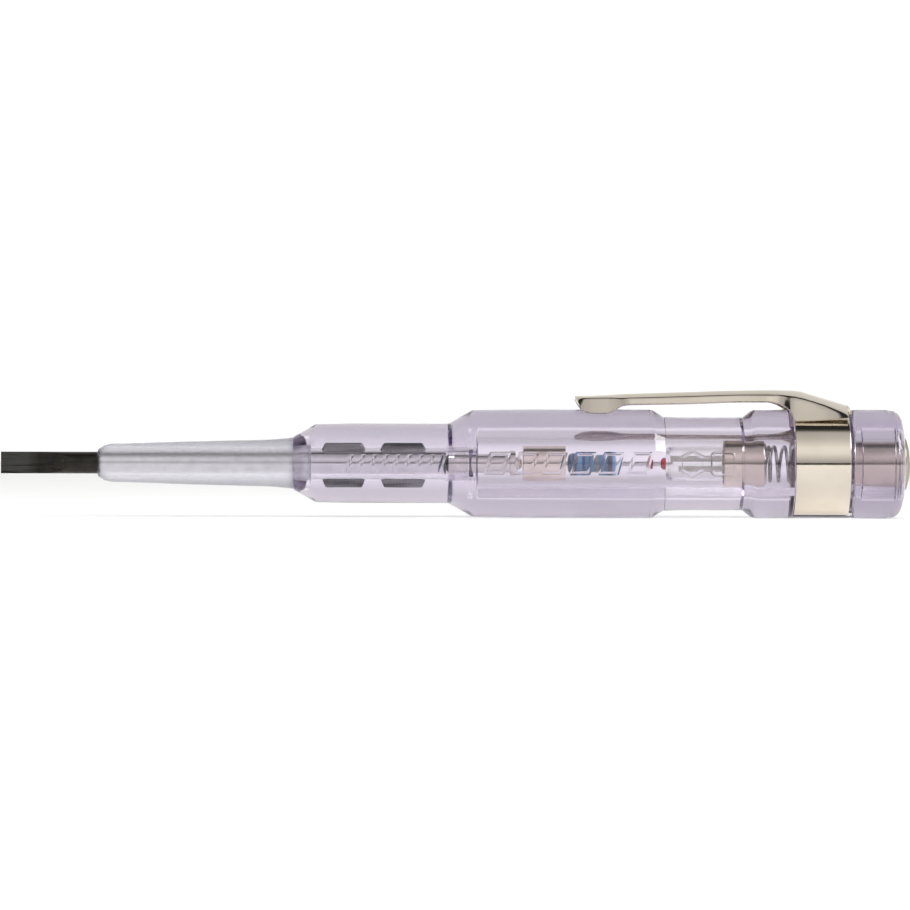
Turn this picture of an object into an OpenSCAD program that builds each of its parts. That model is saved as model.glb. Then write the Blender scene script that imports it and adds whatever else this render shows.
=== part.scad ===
// Mains tester screwdriver with a clear handle, a glow lamp and a pocket clip.
// X runs along the tool from the blade tip to the touch contact, Z points up
// through the pocket clip, and the origin is the middle of the tip's end face.
// All dimensions are in millimetres.

/* [Blade] */
// Diameter of the round blade and shank
blade_d = 3.0; // [2.8:0.05:3.05]
// Thickness of the ground tip
tip_t = 0.5; // [0.4:0.05:0.8]
// Length of the parallel ground flats
flat_len = 5.0; // [3:0.5:7]
// Length over which the flats run out into the round
runout_len = 4.5; // [3:0.5:5]
// Where the shank ends inside the handle
shank_end = 61.2; // [60.8:0.1:61.2]
// Height over the pinched wings that lock the shank in the handle
wing_h = 4.6; // [4:0.1:5]
// Thickness of the pinched wings
wing_t = 0.5; // [0.4:0.1:1]
// Turn of the wings about the shank
wing_turn = 28; // [0:1:90]

/* [Insulating sleeve] */
// Front end of the sleeve, which is the exposed length of the blade
sleeve_x = 13.36; // [12:0.02:15]
// Radius of the sleeve just behind its rounded nose
sleeve_front_r = 2.62; // [2.4:0.02:2.8]
// Radius of the sleeve where it meets the handle
sleeve_rear_r = 3.44; // [3.2:0.02:3.5]

/* [Handle] */
// Front face of the handle
handle_x = 40.3; // [40:0.1:41]
// Diameter of the front section
front_d = 11.0; // [10.6:0.1:11.4]
// Start of the front section, behind the nose cone
front_x0 = 43.4; // [43.2:0.1:44]
// End of the front section
front_x1 = 61.7; // [61:0.1:62]
// Diameter of the main section and of the rear section
main_d = 14.94; // [14.6:0.02:15]
// Diameter of the waist under the clip
waist_d = 12.86; // [12.4:0.02:13.4]
// Start of the waist
waist_x0 = 91.3; // [91:0.1:93]
// End of the waist
waist_x1 = 102.1; // [101:0.1:102.4]
// Diameter of the chamber for the resistor and the lamp
bore_d = 6.8; // [6.7:0.05:7]
// Front wall of the chamber
bore_x = 65.5; // [65.2:0.1:66]
// Diameter of the cap's thread, major
thread_d = 10.0; // [9.6:0.1:10.2]

/* [Cap] */
// Front face of the cap's shoulder
cap_x = 117.05; // [117.05:0.01:117.2]
// Diameter of the cap
cap_d = 15.0; // [14.6:0.02:15]
// Radial running clearance between the cap's spigot and the handle
spigot_gap = 0.05; // [0.03:0.01:0.1]
// Diameter of the touch button's head
button_d = 7.6; // [7:0.1:8]
// Overall length, to the top of the touch button
overall = 125.0; // [124.8:0.05:125.2]

/* [Electrical parts] */
// Diameter of the resistor's end caps
resistor_d = 2.8; // [2.4:0.1:3.0]
// Diameter of the lamp's glass
lamp_d = 4.8; // [4.4:0.1:5.2]
// Outer diameter of the contact cup
cup_d = 6.4; // [6:0.1:6.5]
// Outer diameter of the contact spring
spring_d = 5.15; // [4.8:0.05:5.6]
// Wire diameter of the contact spring
spring_wire = 0.45; // [0.35:0.05:0.5]
// Pitch of the spring's open turns
spring_pitch = 1.42; // [1.2:0.02:1.6]

/* [Pocket clip] */
// Thickness of the clip's sheet steel
sheet_t = 0.4; // [0.3:0.05:0.4]
// Half angle of the gap in the band, at the bottom
band_gap = 19.5; // [18.5:0.5:24]
// Half width of the clip arm
arm_half = 2.25; // [2:0.05:2.6]

/* [Hidden] */
$fn = 96;
e = 0.01;
blade_r = blade_d / 2;
front_r = front_d / 2;
main_r = main_d / 2;
waist_r = waist_d / 2;
bore_r = bore_d / 2;
cap_r = cap_d / 2;
handle_end = 116.95;     // rear face of the handle
band_x0 = 108.95;        // front edge of the clip's band
band_x1 = 116.5;         // rear edge of the clip's band
seat_r = 7.0;            // handle's seat under the band
band_r = 7.02;           // inner radius of the band
fold_x = 116.3;          // centre line of the clip's fold, along the tool
fold_in = 0.2;           // inner radius of the fold
fold_r = band_r + sheet_t + fold_in;         // radius of the fold's centre
upper_r = fold_r + fold_in + sheet_t;        // outer radius of the upper leg
spigot_x = 110.2;        // front end of the cap's spigot
bush_r = 3.1;            // outer radius of the contact bush
washer_x = 111.4;        // front face of the spring washer
cup_end = 105.2;         // rear face of the contact cup
wings = [[44.1, 50.4], [52.1, 58.7]];        // start and end of each wing pair

// A shape turned about the tool's axis: points are [radius, X].
module turned(p, a = 360, s = 0) {
    rotate([0, 90, 0]) rotate([0, 0, s]) rotate_extrude(angle = a) polygon(p);
}

// A round bar between two X positions, off the axis by y and z.
module bar(r, x0, x1, y = 0, z = 0) {
    translate([x0, y, z]) rotate([0, 90, 0]) cylinder(r = r, h = x1 - x0);
}

// Side outline of one pinched wing pair, grown by g.
module wing(x, g = 0) {
    h = wing_h / 2 + g;
    rotate([wing_turn, 0, 0]) rotate([90, 0, 0])
        linear_extrude(height = wing_t + 2 * g, center = true)
        polygon([[x[0] - g, -1.1], [x[0] - g, 1.1], [x[0] + 0.7 - g, h],
            [x[1] - 0.7 + g, h], [x[1] + g, 1.1], [x[1] + g, -1.1],
            [x[1] - 0.7 + g, -h], [x[0] + 0.7 - g, -h]]);
}

// ---- blade ----

// Half thickness of the ground blade at a distance from the tip: a slight
// taper, then the arc that the grinding wheel leaves.
function flat_y(x) = let (r = blade_r + 0.05, t0 = tip_t / 2, t1 = t0 + 0.05,
        rise = r - t1, w = (runout_len * runout_len + rise * rise) / (2 * rise))
    x <= flat_len ? t0 + (t1 - t0) * x / flat_len
        : t1 + w - sqrt(w * w - pow(x - flat_len, 2));

module blade() {
    xs = [0, flat_len, for (i = [1:8]) flat_len + runout_len * i / 8];
    color([0.10, 0.10, 0.10]) union() {
        intersection() {
            bar(blade_r, 0, flat_len + runout_len);
            translate([0, 0, -2]) linear_extrude(height = 4) polygon(concat(
                [for (x = xs) [x, flat_y(x)]],
                [for (i = [len(xs) - 1:-1:0]) [xs[i], -flat_y(xs[i])]]));
        }
        bar(blade_r, flat_len + runout_len - e, shank_end);
        for (w = wings) wing(w);
    }
}

// ---- insulating sleeve ----

module insulating_sleeve() {
    r = sleeve_front_r;
    color([0.80, 0.80, 0.84]) turned([
        [blade_r + 0.05, sleeve_x], [1.72, sleeve_x], [2.07, sleeve_x + 0.24],
        [2.34, sleeve_x + 0.84], [2.55, sleeve_x + 1.34], [r, sleeve_x + 1.7],
        [r + 0.07, 17.8], [r + 0.34, 26], [r + 0.62, 37.05],
        [sleeve_rear_r, 39.3], [sleeve_rear_r + 0.06, handle_x - 0.03],
        [2.55, handle_x - 0.03], [2.55, handle_x + 2.97],
        [blade_r + 0.05, handle_x + 2.97]]);
}

// ---- handle ----

module handle() {
    color([0.78, 0.74, 0.84]) difference() {
        union() {
            turned([
                [2.6, handle_x], [3.6, handle_x], [front_r, front_x0],
                [front_r, front_x1], [main_r, front_x1 + 3.2],
                [main_r, waist_x0 - 1.6], [waist_r, waist_x0],
                [waist_r, waist_x1], [main_r, waist_x1 + 1.3],
                [main_r, band_x0 - 0.05], [seat_r, band_x0 - 0.05],
                [seat_r, handle_end],
                [thread_d / 2 + spigot_gap, handle_end],
                [thread_d / 2 + spigot_gap, spigot_x - 0.2],
                [bore_r, spigot_x - 0.2], [bore_r - 0.05, bore_x],
                [1.65, bore_x], [1.65, shank_end + 0.05],
                [blade_r + 0.03, shank_end + 0.05],
                [blade_r + 0.03, handle_x + 3], [2.6, handle_x + 3]]);
            // key that fills the gap in the clip's band and stops it turning
            turned([[seat_r - 0.2, band_x0 - 0.3], [main_r - 0.02, band_x0 - 0.3],
                [main_r - 0.02, handle_end - 0.02], [seat_r - 0.2, handle_end - 0.02]],
                36, -18);
        }
        for (w = wings) wing(w, 0.03);
    }
}

// ---- front contact and resistor ----

module contact_pin() {
    color([0.75, 0.72, 0.68]) turned([
        [0, shank_end + 0.08], [0.5, shank_end + 0.08], [1.3, 62.3],
        [1.3, 70.1], [1.75, 70.1], [1.75, 70.9], [0.9, 70.9], [0.9, 71.4],
        [0.6, 71.7], [0, 71.7]]);
}

module contact_ferrule() {
    color([0.78, 0.72, 0.64]) turned([
        [0, 71.8], [2.22, 71.8], [2.42, 72.0], [2.42, 77.7], [2.12, 77.7],
        [2.12, 72.15], [0, 72.15]]);
}

module resistor_front_lead() {
    color([0.80, 0.80, 0.80]) bar(0.3, 72.25, 77.95);
}

module resistor_body() {
    r = resistor_d / 2;
    color([0.30, 0.55, 0.72]) turned([
        [0, 78.0], [r - 0.3, 78.0], [r, 78.35], [r, 79.5], [r - 0.18, 79.95],
        [r - 0.18, 82.75], [r, 83.2], [r, 84.35], [r - 0.3, 84.7], [0, 84.7]]);
}

module resistor_rear_lead() {
    color([0.80, 0.80, 0.80]) bar(0.3, 84.75, 89.75);
}

// ---- glow lamp ----

module lamp_seal_bead() {
    color([0.62, 0.10, 0.10]) turned([
        [0.32, 89.5], [0.5, 89.5], [0.68, 89.75], [0.68, 90.35], [0.5, 90.6],
        [0.32, 90.6]]);
}

module lamp_glass() {
    r = lamp_d / 2;
    color([0.85, 0.88, 0.90]) turned([
        [0.27, 90.65], [0.8, 90.65], [1.4, 90.75], [1.9, 91.1],
        [2.25, 91.65], [r, 92.4], [r, 101.1], [r - 0.4, 101.5], [0.27, 101.5],
        [0.27, 100.9], [r - 0.7, 100.9], [r - 0.35, 100.5], [r - 0.35, 92.5],
        [r - 0.6, 91.9], [1.5, 91.5], [0.9, 91.25], [0.27, 91.25]]);
}

module lamp_front_electrode() {
    color([0.55, 0.53, 0.50]) union() {
        bar(0.22, 89.8, 92.2);
        translate([92.2, 0, -0.22]) cylinder(r = 0.22, h = 0.92);
        bar(0.4, 92.0, 99.2, 0, 0.7);
    }
}

module lamp_rear_electrode() {
    color([0.55, 0.53, 0.50]) union() {
        bar(0.22, 100.2, 104.65);
        translate([100.2, 0, -0.7]) cylinder(r = 0.22, h = 0.92);
        bar(0.4, 93.2, 100.4, 0, -0.7);
    }
}

// ---- rear contact ----

module contact_cup() {
    r = cup_d / 2;
    color([0.72, 0.66, 0.58]) turned([
        [r - 0.3, 99.4], [r, 99.4], [r, cup_end - 0.35],
        [r - 0.35, cup_end], [0, cup_end], [0, cup_end - 0.4],
        [r - 0.45, cup_end - 0.4], [r - 0.3, cup_end - 0.55]]);
}

// Axial position of the spring wire after u turns: closed end turns that
// touch, and open turns between them.
spring_x0 = cup_end + 0.03 + spring_wire / 2;
spring_x1 = washer_x - 0.05 - spring_wire / 2;
closed = spring_wire + 0.02;
open_turns = (spring_x1 - spring_x0 - 2 * closed) / spring_pitch;
turns = open_turns + 2;
function coil_x(u) = spring_x0 + (u <= 1 ? closed * u
    : u <= 1 + open_turns ? closed + spring_pitch * (u - 1)
    : closed + spring_pitch * open_turns + closed * (u - 1 - open_turns));

module contact_spring() {
    sides = 8;
    rings = 108;
    mean_r = (spring_d - spring_wire) / 2;
    w = spring_wire / 2;
    pts = [for (i = [0:rings]) let (u = turns * i / rings, a = 360 * u)
        for (j = [0:sides - 1]) let (b = 360 * j / sides,
            r = mean_r + w * cos(b))
            [coil_x(u) + w * sin(b), r * cos(a), r * sin(a)]];
    side = [for (i = [0:rings - 1]) for (j = [0:sides - 1])
        let (a = i * sides + j, b = i * sides + (j + 1) % sides,
            c = b + sides, d = a + sides)
        each [[a, b, c], [a, c, d]]];
    start = [for (j = [sides - 1:-1:0]) j];
    finish = [for (j = [0:sides - 1]) rings * sides + j];
    color([0.50, 0.50, 0.52]) polyhedron(points = pts,
        faces = concat(side, [start], [finish]), convexity = 10);
}

module spring_washer() {
    color([0.62, 0.60, 0.58]) turned([
        [0.8, washer_x], [2.8, washer_x], [2.95, washer_x + 0.12],
        [2.95, washer_x + 0.38], [2.8, washer_x + 0.5],
        [0.8, washer_x + 0.5]]);
}

// ---- screw cap ----

module end_cap() {
    r = cap_r;
    b = bush_r + 0.02;
    color([0.76, 0.73, 0.80]) turned([
        [b, spigot_x], [thread_d / 2 - 0.4, spigot_x],
        [thread_d / 2, spigot_x + 0.4], [thread_d / 2, cap_x],
        [r - 0.1, cap_x], [r, cap_x + 0.15], [r, 121.6], [r - 0.05, 122.4],
        [r - 0.2, 122.95], [r - 0.5, 123.4], [r - 1.0, 123.75],
        [r - 1.7, 123.98], [r - 2.6, 124.1], [b, 124.1], [b, 122.6],
        [3.42, 122.6], [3.42, 118.3], [b, 118.3]]);
}

module contact_bush() {
    r = bush_r;
    color([0.70, 0.66, 0.62]) turned([
        [0, 112.0], [r - 0.3, 112.0], [r, 112.3], [r, 124.05],
        [2.3, 124.05], [2.3, 112.5], [0, 112.5]]);
}

module touch_button() {
    h = button_d / 2;
    color([0.80, 0.79, 0.77]) turned([
        [0, 117.5], [2.0, 117.5], [2.28, 117.8], [2.28, 124.13],
        [h, 124.13], [h, 124.25], [h - 0.36, 124.55], [h - 0.8, 124.78],
        [h - 1.3, overall - 0.1], [h - 1.7, overall], [0, overall]]);
}

// ---- pocket clip ----

module clip_band() {
    color([0.80, 0.77, 0.70]) union() {
        // open ring that grips the handle
        turned([[band_r, band_x0], [band_r + sheet_t, band_x0],
            [band_r + sheet_t, band_x1], [band_r, band_x1]],
            360 - 2 * band_gap, band_gap);
        // fold at the rear edge, up to the arm
        rotate([0, 90, 0]) rotate([0, 0, 158]) rotate_extrude(angle = 44)
            intersection() {
                difference() {
                    translate([fold_r, fold_x])
                        circle(r = fold_in + sheet_t, $fn = 48);
                    translate([fold_r, fold_x])
                        circle(r = fold_in, $fn = 48);
                }
                translate([fold_r - 2, fold_x]) square([4, 2]);
            }
    }
}

// The arm is an arched strip. At each station its section is an arc through
// the ridge, at height arm_top, and through the edge point (arm_y, arm_z).
function arm_top(x) = lookup(x, [[79.0, 9.35], [85.5, 9.63], [94, 9.9],
    [102.5, 10.18], [109.4, 10.2], [110.2, 10.05], [116.3, upper_r]]);
function arm_y(x) = lookup(x, [[79.0, 1.1], [79.3, 2.0], [79.7, 2.6],
    [80.4, 3.2], [81.4, 3.55], [83.3, 3.55], [84.5, 3.15], [85.8, 2.5],
    [86.6, arm_half], [105.5, arm_half], [106.6, 2.7], [107.6, 3.5],
    [108.5, 4.7], [109.0, 5.2], [116.3, upper_r * sin(40)]]);
function arm_z(x) = lookup(x, [[79.0, 9.1], [79.3, 8.6], [79.7, 8.0],
    [80.4, 7.25], [81.4, 7.0], [83.3, 7.0], [84.5, 7.5], [85.8, 8.15],
    [86.6, 8.2], [94, 8.32], [102.5, 8.6], [105.5, 8.6], [106.6, 8.4],
    [107.6, 8.0], [108.5, 7.2], [109.0, 6.0],
    [116.3, upper_r * cos(40)]]);
function arm_rho(x) = let (h = arm_top(x) - arm_z(x), y = arm_y(x))
    (h * h + y * y) / (2 * h);

arm_xs = concat([for (i = [0:5]) fold_x - 0.04 - i * 1.3],
    [109.0, 108.75, 108.5, 108.0, 107.6, 107.1, 106.6, 106.0, 105.5],
    [for (x = [102.5, 98.5, 94, 90, 86.6]) x],
    [86.2, 85.8, 85.1, 84.5, 83.9, 83.3, 82.3, 81.4, 80.9, 80.4, 80.0,
        79.7, 79.5, 79.3, 79.1, 79.0]);

module clip_arm() {
    n = 15;
    m = len(arm_xs);
    pts = [for (x = arm_xs) let (p = arm_rho(x), zc = arm_top(x) - p,
            al = atan2(arm_y(x), arm_z(x) - zc))
        for (t = [0, sheet_t]) for (j = [0:n - 1])
            let (a = al * (1 - 2 * j / (n - 1)))
            [x, (p - t) * sin(a), zc + (p - t) * cos(a)]];
    function o(i, j) = i * 2 * n + j;
    function q(i, j) = i * 2 * n + n + j;
    function two(a, b, c, d) = [[a, b, c], [a, c, d]];
    skin = [for (i = [0:m - 2]) for (j = [0:n - 2]) each concat(
        two(o(i, j), o(i, j + 1), o(i + 1, j + 1), o(i + 1, j)),
        two(q(i, j), q(i + 1, j), q(i + 1, j + 1), q(i, j + 1)))];
    rims = [for (i = [0:m - 2]) each concat(
        two(o(i, 0), o(i + 1, 0), q(i + 1, 0), q(i, 0)),
        two(q(i, n - 1), q(i + 1, n - 1), o(i + 1, n - 1), o(i, n - 1)))];
    ends = [for (j = [0:n - 2]) each concat(
        two(o(0, j), q(0, j), q(0, j + 1), o(0, j + 1)),
        two(o(m - 1, j), o(m - 1, j + 1), q(m - 1, j + 1), q(m - 1, j)))];
    color([0.80, 0.77, 0.70]) polyhedron(points = pts,
        faces = concat(skin, rims, ends), convexity = 10);
}

handle();
insulating_sleeve();
blade();
contact_pin();
contact_ferrule();
resistor_front_lead();
resistor_body();
resistor_rear_lead();
lamp_seal_bead();
lamp_glass();
lamp_front_electrode();
lamp_rear_electrode();
contact_cup();
contact_spring();
spring_washer();
end_cap();
contact_bush();
touch_button();
clip_band();
clip_arm();
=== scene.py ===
import bpy
from math import pi, sin, cos, tan, atan2, sqrt, radians, degrees, ceil, floor, acos, exp
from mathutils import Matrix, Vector


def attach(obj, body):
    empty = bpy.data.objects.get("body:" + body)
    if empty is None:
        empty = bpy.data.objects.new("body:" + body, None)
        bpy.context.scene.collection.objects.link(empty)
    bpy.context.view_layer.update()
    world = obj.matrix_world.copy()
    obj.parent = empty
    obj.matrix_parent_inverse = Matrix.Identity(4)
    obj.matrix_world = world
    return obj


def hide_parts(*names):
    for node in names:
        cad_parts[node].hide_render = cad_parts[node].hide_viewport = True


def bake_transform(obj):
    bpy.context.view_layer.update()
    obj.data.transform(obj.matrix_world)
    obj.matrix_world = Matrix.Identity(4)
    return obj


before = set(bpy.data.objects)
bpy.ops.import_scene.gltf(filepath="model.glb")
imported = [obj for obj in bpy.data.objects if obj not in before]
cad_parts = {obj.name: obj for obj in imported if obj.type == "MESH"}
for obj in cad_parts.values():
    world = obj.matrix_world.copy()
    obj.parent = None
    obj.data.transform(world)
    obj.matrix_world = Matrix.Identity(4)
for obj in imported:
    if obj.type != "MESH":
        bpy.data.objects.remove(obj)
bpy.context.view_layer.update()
MM = 0.001

scene = bpy.context.scene
scene.view_settings.view_transform = "Standard"
scene.view_settings.look = "None"
scene.cycles.max_bounces = 32
scene.cycles.transmission_bounces = 28
scene.cycles.glossy_bounces = 10
scene.cycles.diffuse_bounces = 4
scene.cycles.volume_bounces = 0
scene.cycles.transparent_max_bounces = 16
scene.cycles.sample_clamp_indirect = 6.0
scene.cycles.use_denoising = True

# ------------------------------------------------------------------ meshes

def mesh_object(name, verts, faces, smooth=True):
    me = bpy.data.meshes.new(name)
    me.from_pydata([(x * MM, y * MM, z * MM) for x, y, z in verts], [], faces)
    me.validate()
    me.update()
    if smooth:
        me.polygons.foreach_set("use_smooth", [True] * len(me.polygons))
    ob = bpy.data.objects.new(name, me)
    scene.collection.objects.link(ob)
    return ob


def fillet(points, closed, step=9.0):
    """Corner-rounded path. points are (x, r) or (x, r, corner radius) in mm."""
    n = len(points)
    out = []
    for i, p in enumerate(points):
        x, r = p[0], p[1]
        f = p[2] if len(p) > 2 else 0.0
        if f <= 0 or (not closed and i in (0, n - 1)):
            out.append((x, r))
            continue
        a, b = points[(i - 1) % n], points[(i + 1) % n]
        va = Vector((a[0] - x, a[1] - r))
        vb = Vector((b[0] - x, b[1] - r))
        la, lb = va.length, vb.length
        if la < 1e-9 or lb < 1e-9:
            out.append((x, r))
            continue
        va /= la
        vb /= lb
        inner = acos(max(-1.0, min(1.0, va.dot(vb))))
        turn = pi - inner
        if turn < radians(0.5):
            out.append((x, r))
            continue
        t = min(f / tan(inner / 2), 0.48 * la, 0.48 * lb)
        f = t * tan(inner / 2)
        c = Vector((x, r)) + (va + vb).normalized() * (f / sin(inner / 2))
        s, e = Vector((x, r)) + va * t, Vector((x, r)) + vb * t
        a0, a1 = atan2(s.y - c.y, s.x - c.x), atan2(e.y - c.y, e.x - c.x)
        d = (a1 - a0 + pi) % (2 * pi) - pi
        m = max(3, ceil(degrees(abs(d)) / step))
        for k in range(m + 1):
            w = a0 + d * k / m
            out.append((c.x + f * cos(w), c.y + f * sin(w)))
    return out


def supports(path, closed, d=0.05, longest=None):
    """Adds a point close to each end of a long straight stretch, so shading stays on the corners."""
    out = []
    n = len(path)
    for i in range(n if closed else n - 1):
        a, b = path[i], path[(i + 1) % n]
        out.append(a)
        length = sqrt((a[0] - b[0]) ** 2 + (a[1] - b[1]) ** 2)
        cuts = []
        if length > 4 * d:
            cuts = [d / length]
            if longest and length > longest:
                m = ceil((length - 2 * d) / longest)
                cuts += [(d + (length - 2 * d) * k / m) / length for k in range(1, m)]
            cuts.append(1 - d / length)
        out += [(a[0] + (b[0] - a[0]) * t, a[1] + (b[1] - a[1]) * t) for t in cuts]
    if not closed:
        out.append(path[-1])
    return out


def spin(name, path, closed=False, seg=192, angles=None, shift=None, off=(0.0, 0.0)):
    """Turns a path of (x, r) about the tool's axis. shift(i, x, r, angle) gives a new (x, r)."""
    th = angles or [2 * pi * j / seg for j in range(seg)]
    m = len(th)
    area = 0.0
    for i in range(len(path)):
        (x0, r0), (x1, r1) = path[i], path[(i + 1) % len(path)]
        area += x0 * r1 - x1 * r0
    verts, rows = [], []
    for i, (x, r) in enumerate(path):
        if r < 1e-7:
            rows.append([len(verts)] * m)
            verts.append((x, off[0], off[1]))
        else:
            row = []
            for a in th:
                xx, rr = (x, r) if shift is None else shift(i, x, r, a)
                row.append(len(verts))
                verts.append((xx, off[0] + rr * cos(a), off[1] + rr * sin(a)))
            rows.append(row)
    faces = []
    for i in range(len(path) if closed else len(path) - 1):
        p, q = rows[i], rows[(i + 1) % len(path)]
        for j in range(m):
            k = (j + 1) % m
            quad = [p[j], q[j], q[k], p[k]]
            f = []
            for v in quad:
                if v not in f:
                    f.append(v)
            if len(f) > 2:
                faces.append(f if area > 0 else f[::-1])
    return mesh_object(name, verts, faces)


def turned(name, points, closed=False, seg=160, d=0.05, step=9.0, **kw):
    return spin(name, supports(fillet(points, closed, step), closed, d), closed, seg, **kw)


def swept(name, centres, radius, sides=12, radii=None):
    """A round wire through centres (mm)."""
    n = len(centres)
    c = [Vector(p) for p in centres]
    verts = []
    t0 = (c[1] - c[0]).normalized()
    u = t0.orthogonal().normalized()
    for i in range(n):
        t = (c[min(i + 1, n - 1)] - c[max(i - 1, 0)]).normalized()
        u = (u - t * u.dot(t)).normalized()
        v = t.cross(u)
        r = radii[i] if radii else radius
        for j in range(sides):
            a = 2 * pi * j / sides
            verts.append(tuple(c[i] + (u * cos(a) + v * sin(a)) * r))
    faces = []
    for i in range(n - 1):
        for j in range(sides):
            k = (j + 1) % sides
            faces.append([i * sides + j, i * sides + k, (i + 1) * sides + k, (i + 1) * sides + j])
    faces.append([j for j in range(sides - 1, -1, -1)])
    faces.append([(n - 1) * sides + j for j in range(sides)])
    return mesh_object(name, verts, faces)


def smoothstep(a, b, x):
    t = max(0.0, min(1.0, (x - a) / (b - a)))
    return t * t * (3 - 2 * t)


def table(pairs):
    """Smooth lookup through given stations: monotone between points."""
    xs = [p[0] for p in pairs]
    ys = [p[1] for p in pairs]
    n = len(xs)
    sl = [(ys[i + 1] - ys[i]) / (xs[i + 1] - xs[i]) for i in range(n - 1)]
    m = [sl[0]] + [0.0 if sl[i - 1] * sl[i] <= 0 else 2 * sl[i - 1] * sl[i] / (sl[i - 1] + sl[i])
                   for i in range(1, n - 1)] + [sl[-1]]

    def f(x):
        if x <= xs[0]:
            return ys[0]
        if x >= xs[-1]:
            return ys[-1]
        i = max(k for k in range(n - 1) if xs[k] <= x)
        h = xs[i + 1] - xs[i]
        t = (x - xs[i]) / h
        return (ys[i] * (1 + 2 * t) * (1 - t) ** 2 + m[i] * h * t * (1 - t) ** 2
                + ys[i + 1] * t * t * (3 - 2 * t) + m[i + 1] * h * t * t * (t - 1))
    return f


def place(ob, material, body, node=None, more=()):
    ob.data.materials.clear()
    ob.data.materials.append(material)
    if body:
        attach(ob, body)
    nodes = ([node] if node else []) + list(more)
    if nodes:
        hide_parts(*nodes)
    return ob

# --------------------------------------------------------------- materials

class Mat:
    def __init__(self, name):
        self.m = bpy.data.materials.new(name)
        self.m.use_nodes = True
        self.nt = self.m.node_tree
        self.nt.nodes.clear()
        self.out = self.nt.nodes.new("ShaderNodeOutputMaterial")
        self.b = self.nt.nodes.new("ShaderNodeBsdfPrincipled")
        self.nt.links.new(self.b.outputs[0], self.out.inputs["Surface"])
        self.co = self.nt.nodes.new("ShaderNodeTexCoord").outputs["Object"]

    def node(self, kind, **props):
        n = self.nt.nodes.new(kind)
        for k, v in props.items():
            setattr(n, k, v)
        return n

    def link(self, a, b):
        self.nt.links.new(a, b)

    def set(self, **kw):
        for k, v in kw.items():
            self.b.inputs[k.replace("_", " ")].default_value = v
        return self

    def mapping(self, scale=(1, 1, 1), rot=(0, 0, 0), src=None):
        n = self.node("ShaderNodeMapping")
        n.inputs["Scale"].default_value = scale
        n.inputs["Rotation"].default_value = rot
        self.link(src or self.co, n.inputs["Vector"])
        return n.outputs[0]

    def noise(self, scale, detail=4.0, rough=0.55, vec=None, distortion=0.0):
        n = self.node("ShaderNodeTexNoise")
        n.inputs["Scale"].default_value = scale
        n.inputs["Detail"].default_value = detail
        n.inputs["Roughness"].default_value = rough
        n.inputs["Distortion"].default_value = distortion
        self.link(vec or self.co, n.inputs["Vector"])
        return n.outputs["Fac"]

    def ramp(self, src, stops, mode="LINEAR"):
        n = self.node("ShaderNodeValToRGB")
        n.color_ramp.interpolation = mode
        e = n.color_ramp.elements
        while len(e) > 1:
            e.remove(e[-1])
        for i, (p, c) in enumerate(stops):
            c = (c, c, c, 1) if isinstance(c, (int, float)) else (*c, 1)
            el = e[0] if i == 0 else e.new(p)
            el.position = p
            el.color = c
        self.link(src, n.inputs[0])
        return n.outputs[0]

    def math(self, op, a, b=None, clamp=False):
        n = self.node("ShaderNodeMath", operation=op, use_clamp=clamp)
        for i, v in enumerate((a, b)):
            if v is None:
                continue
            if isinstance(v, (int, float)):
                n.inputs[i].default_value = v
            else:
                self.link(v, n.inputs[i])
        return n.outputs[0]

    def mix(self, fac, a, b):
        n = self.node("ShaderNodeMix", data_type="RGBA")
        if isinstance(fac, (int, float)):
            n.inputs["Factor"].default_value = fac
        else:
            self.link(fac, n.inputs["Factor"])
        for k, v in (("A", a), ("B", b)):
            s = [i for i in n.inputs if i.name == k and i.type == "RGBA"][0]
            if isinstance(v, tuple):
                s.default_value = (*v, 1)
            else:
                self.link(v, s)
        return [o for o in n.outputs if o.type == "RGBA"][0]

    def bump(self, height, strength=0.2, distance=0.0001, normal=None):
        n = self.node("ShaderNodeBump")
        n.inputs["Strength"].default_value = strength
        n.inputs["Distance"].default_value = distance
        self.link(height, n.inputs["Height"])
        if normal is not None:
            self.link(normal, n.inputs["Normal"])
        return n.outputs[0]

    def axial(self):
        """x and angle about the tool's axis."""
        s = self.node("ShaderNodeSeparateXYZ")
        self.link(self.co, s.inputs[0])
        ang = self.math("ARCTAN2", s.outputs[2], s.outputs[1])
        return s.outputs[0], ang

    def combine(self, x, y, z):
        n = self.node("ShaderNodeCombineXYZ")
        for i, v in enumerate((x, y, z)):
            if isinstance(v, (int, float)):
                n.inputs[i].default_value = v
            else:
                self.link(v, n.inputs[i])
        return n.outputs[0]


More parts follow.
